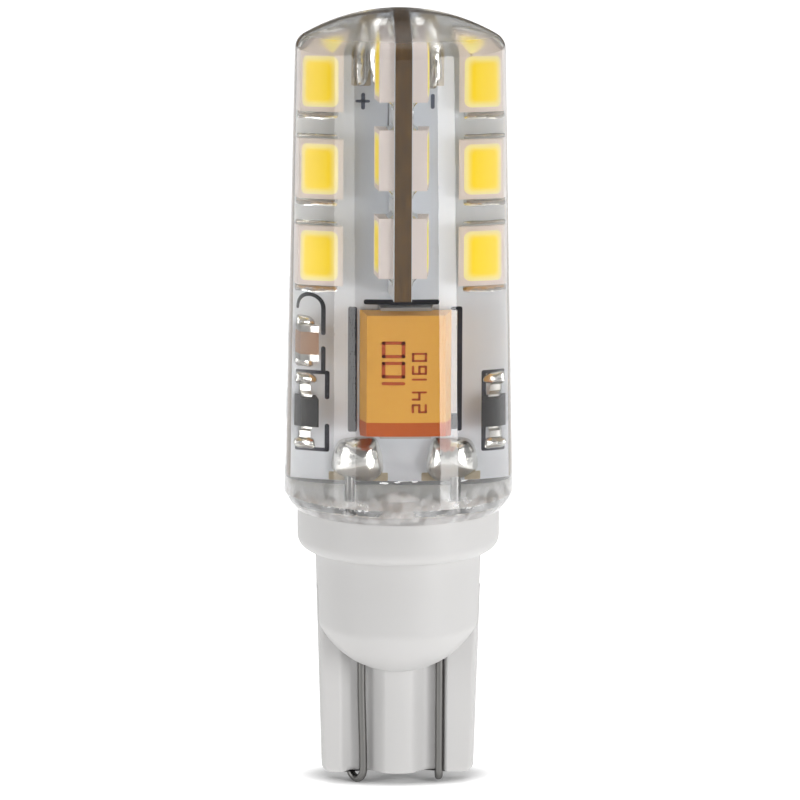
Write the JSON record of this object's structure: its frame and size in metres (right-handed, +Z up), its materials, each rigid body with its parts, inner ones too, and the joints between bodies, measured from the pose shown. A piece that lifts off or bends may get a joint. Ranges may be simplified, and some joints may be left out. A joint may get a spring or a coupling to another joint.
{
  "type": "wedge base led bulb",
  "caption": "Wedge base LED bulb: clear cast body over two crossed boards of surface-mount LEDs, on a white wedge base with two folded lead wires.",
  "frame": {"origin": "middle of the wedge blade's bottom face", "axes": "+Z up the bulb's axis to the dome, -Y out of the side that carries the tantalum capacitor, X across the blade's width"},
  "size_m": [0.0138, 0.0138, 0.0467],
  "materials": {
    "clear_silicone": "clear cast silicone, glossy from a polished mould",
    "white_nylon": "satin injection moulded nylon, natural white",
    "board_white_mask": "white solder mask on glass epoxy board, brown routed edges",
    "led_housing": "moulded reflector plastic, warm white",
    "led_phosphor": "phosphor filled silicone, deep yellow",
    "tinned_copper": "bright tinned copper wire",
    "solder": "bright reflowed solder",
    "tin_plate": "satin tin plated sheet",
    "amber_epoxy": "moulded amber epoxy with a darker end band",
    "black_epoxy": "moulded black epoxy",
    "brown_ceramic": "fired brown dielectric",
    "black_ceramic": "black glazed resistor element",
    "ferrite": "sintered dark grey ferrite"
  },
  "bodies": {
    "root": {"board_joint_solder": "solder", "ceramic_capacitor": "brown_ceramic", "chip_end_caps": "tin_plate", "cross_board": "board_white_mask", "diode_leads": "tin_plate", "driver_chip": "black_epoxy", "driver_chip_leads": "tin_plate", "front_diode_left": "black_epoxy", "front_diode_right": "black_epoxy", "lead_solder": "solder", "lead_wire_left": "tinned_copper", "lead_wire_right": "tinned_copper", "led_cross_left_back_bottom": "led_housing", "led_cross_left_back_middle": "led_housing", "led_cross_left_back_top": "led_housing", "led_cross_left_front_bottom": "led_housing", "led_cross_left_front_middle": "led_housing", "led_cross_left_front_top": "led_housing", "led_cross_right_back_bottom": "led_housing", "led_cross_right_back_middle": "led_housing", "led_cross_right_back_top": "led_housing", "led_cross_right_front_bottom": "led_housing", "led_cross_right_front_middle": "led_housing", "led_cross_right_front_top": "led_housing", "led_main_back_left_bottom": "led_housing", "led_main_back_left_middle": "led_housing", "led_main_back_left_top": "led_housing", "led_main_back_right_bottom": "led_housing", "led_main_back_right_middle": "led_housing", "led_main_back_right_top": "led_housing", "led_main_front_left_bottom": "led_housing", "led_main_front_left_middle": "led_housing", "led_main_front_left_top": "led_housing", "led_main_front_right_bottom": "led_housing", "led_main_front_right_middle": "led_housing", "led_main_front_right_top": "led_housing", "led_solder_cross_left": "solder", "led_solder_cross_right": "solder", "led_solder_main_back": "solder", "led_solder_main_front": "solder", "led_windows_cross_left": "led_phosphor", "led_windows_cross_right": "led_phosphor", "led_windows_main_back": "led_phosphor", "led_windows_main_front": "led_phosphor", "main_board": "board_white_mask", "power_inductor": "ferrite", "rear_diode_left": "black_epoxy", "rear_diode_right": "black_epoxy", "sense_resistors": "black_ceramic", "silicone_body": "clear_silicone", "tantalum_capacitor": "amber_epoxy", "tantalum_terminals": "tin_plate", "wedge_base": "white_nylon"}
  },
  "joints": []
}
